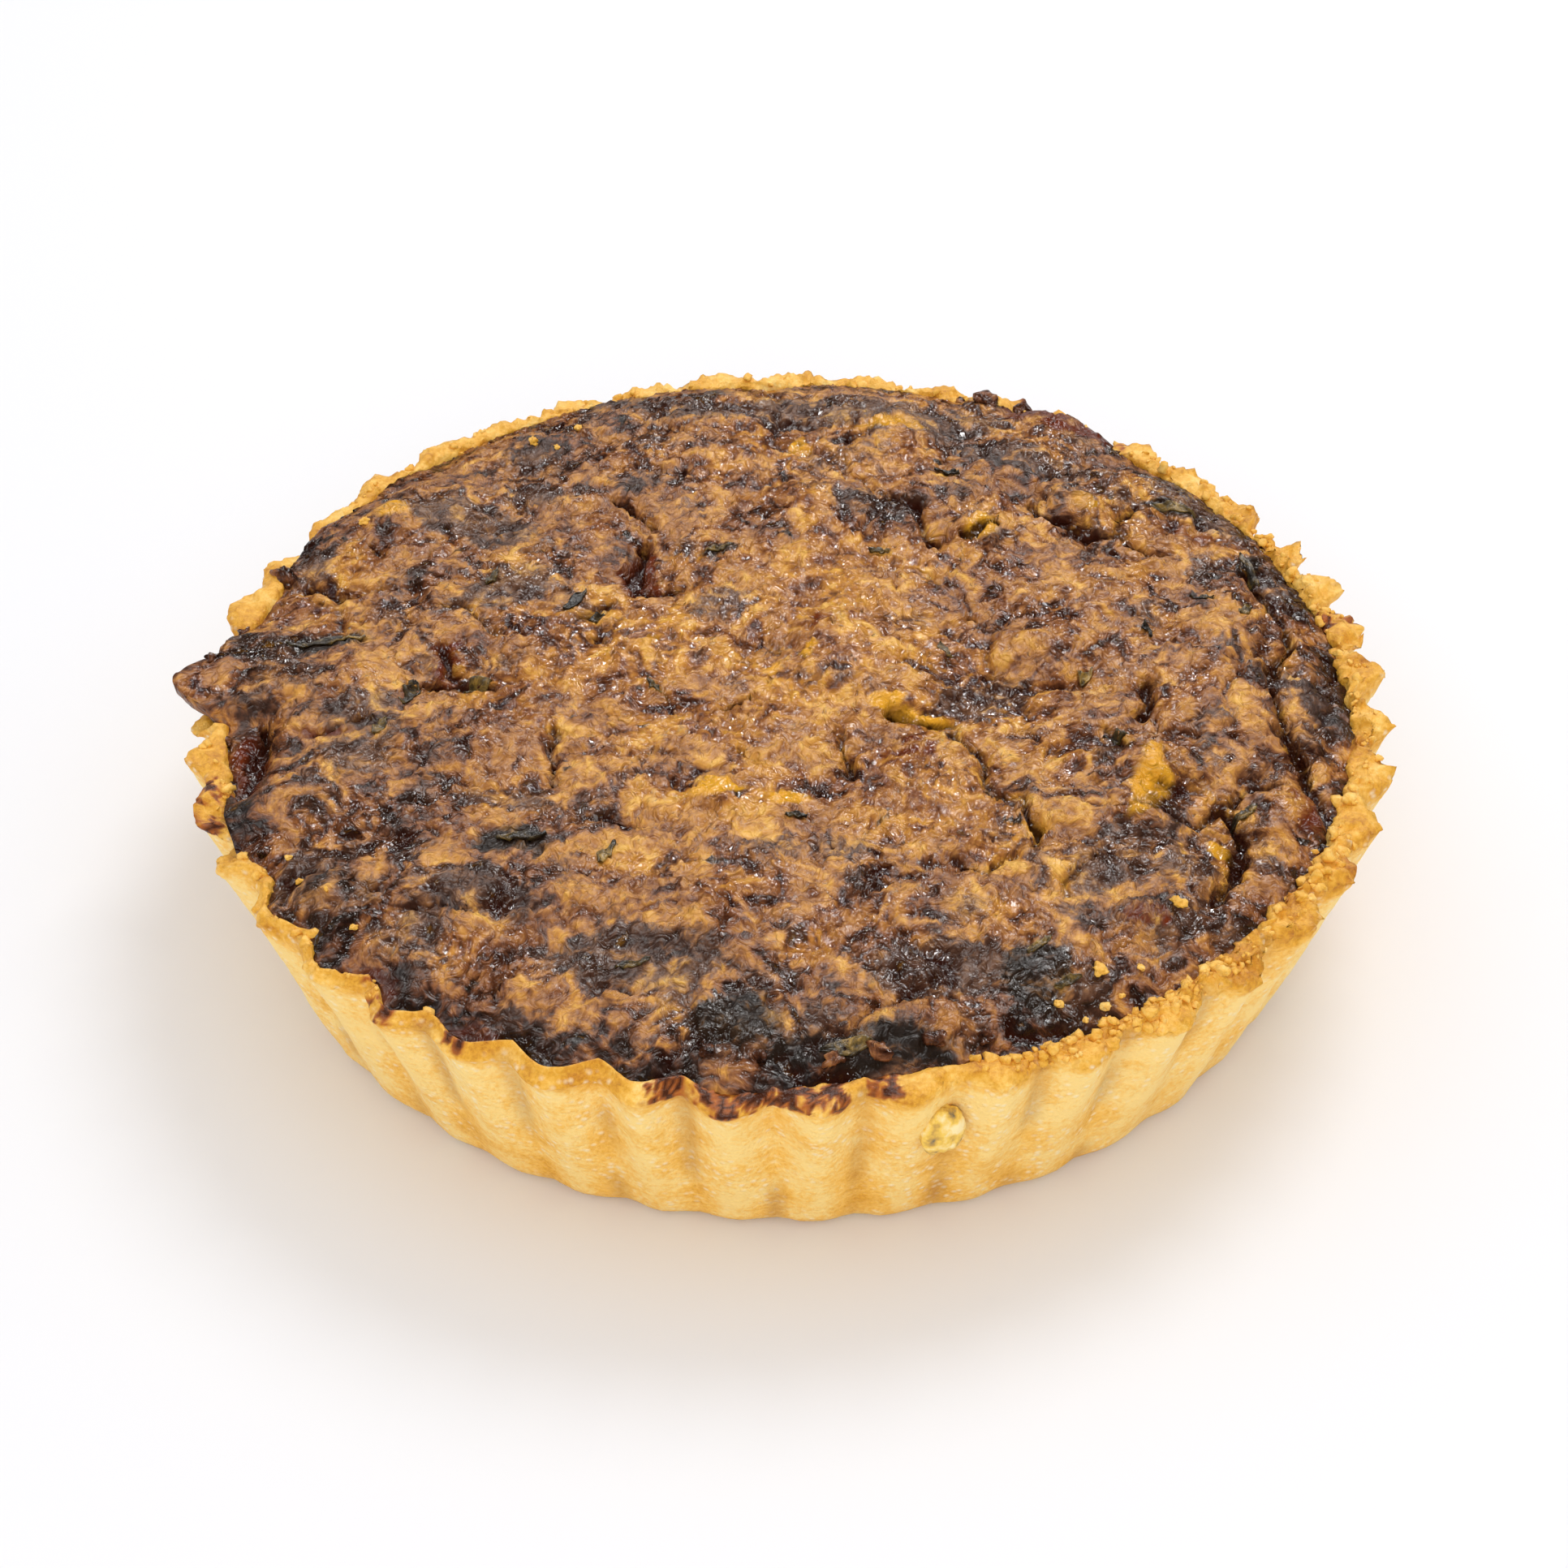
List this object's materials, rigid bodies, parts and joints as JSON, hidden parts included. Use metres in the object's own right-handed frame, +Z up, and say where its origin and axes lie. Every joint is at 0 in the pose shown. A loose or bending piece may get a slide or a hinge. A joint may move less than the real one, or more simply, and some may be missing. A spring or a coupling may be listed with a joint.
{
  "type": "quiche",
  "caption": "Whole deep round quiche: fluted shortcrust case filled level to the rim with browned egg, cheese and vegetable filling.",
  "frame": {"origin": "middle of the flat base, on the surface the quiche rests on", "axes": "+Z up out of the filling; -Y towards the picture's camera; +X to its right"},
  "size_m": [0.2552, 0.2511, 0.0563],
  "materials": {
    "pastry": "dry baked shortcrust, crumbly, browned on the rim",
    "egg_filling": "browned egg and cheese filling, moist, with dark roasted patches",
    "leaked_egg": "pale set egg with green specks"
  },
  "bodies": {
    "root": {"crust": "pastry", "filling": "egg_filling", "egg_leak": "leaked_egg"}
  },
  "joints": []
}
